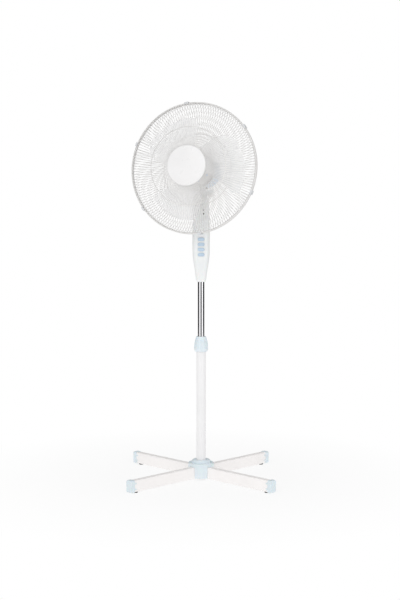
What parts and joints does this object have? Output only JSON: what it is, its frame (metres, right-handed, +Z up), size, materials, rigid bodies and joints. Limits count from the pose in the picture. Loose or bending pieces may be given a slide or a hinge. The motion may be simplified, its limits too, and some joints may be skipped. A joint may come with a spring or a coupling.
{
  "type": "pedestal fan",
  "caption": "Floor-standing oscillating fan: wire cage head on a telescopic chrome pole with a push-button control housing and a cross-shaped tube base.",
  "frame": {"origin": "on the floor under the pole's axis, at the middle of the cross base", "axes": "+Z up along the pole, -Y towards the front of the control housing, +X to the right as seen from the front"},
  "size_m": [0.4816, 0.4816, 1.2602],
  "materials": {
    "leg_paint": "smooth off-white powder coat",
    "pole_paint": "smooth white enamel",
    "blue_plastic": "satin pale blue",
    "button_plastic": "glossy light blue",
    "white_plastic": "satin white",
    "cap_plastic": "semi-gloss white",
    "chrome": "polished chrome plate",
    "guard_wire": "white coated steel wire",
    "clip_plastic": "satin white",
    "blade_plastic": "pale translucent",
    "motor_cover": "satin pale blue",
    "dark_plastic": "black",
    "nylon": "natural nylon",
    "rubber": "black",
    "steel": "zinc plated",
    "lamination": "laminated electrical steel",
    "copper": "enamelled copper wire",
    "cast_alloy": "die cast"
  },
  "bodies": {
    "base": {"cross_leg_lower": "leg_paint", "cross_leg_upper": "leg_paint", "leg_cap_front_left": "blue_plastic", "leg_cap_front_right": "blue_plastic", "leg_cap_rear_right": "blue_plastic", "leg_cap_rear_left": "blue_plastic", "foot_front_left": "rubber", "foot_front_right": "rubber", "foot_rear_right": "rubber", "foot_rear_left": "rubber", "pole_flange": "steel", "flange_screws": "steel", "base_hub": "blue_plastic", "outer_pole": "pole_paint", "pole_screw": "steel", "pole_socket": "nylon"},
    "collar": {"height_collar": "blue_plastic"},
    "mast": {"inner_pole": "chrome", "pole_glide": "nylon", "control_housing_front": "white_plastic", "control_housing_rear": "white_plastic", "housing_screws": "steel", "pole_clamp_screw": "steel", "switch_block": "dark_plastic", "run_capacitor": "dark_plastic", "cord_grommet": "rubber", "neck_fork": "white_plastic", "tilt_bolt": "steel"},
    "tilt_knob": {"tilt_knob": "white_plastic"},
    "neck": {"tilt_neck": "white_plastic"},
    "head": {"oscillation_spindle": "steel", "thrust_washer": "nylon", "motor_saddle": "cast_alloy", "stator_core": "lamination", "stator_windings": "copper", "front_end_shield": "cast_alloy", "rear_end_shield": "cast_alloy", "motor_cover_front": "motor_cover", "motor_cover_rear": "motor_cover", "gearbox_case": "cast_alloy", "rear_guard": "guard_wire", "front_guard": "guard_wire", "guard_nut": "white_plastic", "guard_clips": "clip_plastic", "centre_cap": "cap_plastic", "cap_retainer": "steel", "cap_screws": "steel"},
    "rotor": {"motor_shaft": "steel", "rotor_core": "lamination", "fan_blade": "blade_plastic", "drive_pin": "steel", "blade_nut": "blade_plastic"},
    "worm_wheel": {"worm_wheel": "nylon"},
    "crank": {"oscillation_crank": "dark_plastic"},
    "link": {"oscillation_link": "dark_plastic"},
    "clutch_knob": {"oscillation_knob": "white_plastic"},
    "button_high": {"button_high": "button_plastic"},
    "button_medium": {"button_medium": "button_plastic"},
    "button_low": {"button_low": "button_plastic"},
    "button_off": {"button_off": "button_plastic"}
  },
  "joints": [
    {"name": "collar_twist", "type": "hinge", "parent": "base", "child": "collar", "pos_m": [0, 0, 0.457], "axis": [0, 0, 1], "range_deg": [0, 120]},
    {"name": "height_slide", "type": "slide", "parent": "base", "child": "mast", "axis": [0, 0, 1], "range_m": [-0.17, 0.03]},
    {"name": "tilt", "type": "hinge", "parent": "mast", "child": "neck", "pos_m": [0, 0, 0.96], "axis": [-1, 0, 0], "range_deg": [-10, 12]},
    {"name": "tilt_knob_turn", "type": "hinge", "parent": "mast", "child": "tilt_knob", "pos_m": [0.03, 0, 0.96], "axis": [1, 0, 0], "range_deg": [0, 180]},
    {"name": "oscillation", "type": "hinge", "parent": "neck", "child": "head", "pos_m": [0, 0, 0.96], "axis": [0, 0.1305, 0.9914], "range_deg": [-12, 50]},
    {"name": "blade_spin", "type": "hinge", "parent": "head", "child": "rotor", "pos_m": [0, 0.00966, 1.03337], "axis": [-0.3256, -0.9374, 0.1234], "continuous": true},
    {"name": "worm_wheel_spin", "type": "hinge", "parent": "head", "child": "worm_wheel", "pos_m": [0.02729, 0.04438, 1.02879], "axis": [0, 0.1305, 0.9914], "continuous": true},
    {"name": "crank_spin", "type": "hinge", "parent": "head", "child": "crank", "pos_m": [0.01542, 0.04913, 1.008], "axis": [0, 0.1305, 0.9914], "continuous": true},
    {"name": "link_swing", "type": "hinge", "parent": "neck", "child": "link", "pos_m": [-0.0217, 0.02003, 0.97653], "axis": [0, 0.1305, 0.9914], "range_deg": [-20, 20]},
    {"name": "clutch_pull", "type": "slide", "parent": "head", "child": "clutch_knob", "axis": [0, 0.1305, 0.9914], "range_m": [0, 0.006]},
    {"name": "button_high_press", "type": "slide", "parent": "mast", "child": "button_high", "axis": [0, 1, 0], "range_m": [0, 0.0035], "stiffness_N_per_m": 300},
    {"name": "button_medium_press", "type": "slide", "parent": "mast", "child": "button_medium", "axis": [0, 1, 0], "range_m": [0, 0.0035], "stiffness_N_per_m": 300},
    {"name": "button_low_press", "type": "slide", "parent": "mast", "child": "button_low", "axis": [0, 1, 0], "range_m": [0, 0.0035], "stiffness_N_per_m": 300},
    {"name": "button_off_press", "type": "slide", "parent": "mast", "child": "button_off", "axis": [0, 1, 0], "range_m": [0, 0.0035], "stiffness_N_per_m": 300}
  ],
  "couplings": [
    {"joint": "worm_wheel_spin", "follows": "blade_spin", "ratio": -0.03125},
    {"joint": "crank_spin", "follows": "blade_spin", "ratio": 0.0078125}
  ]
}
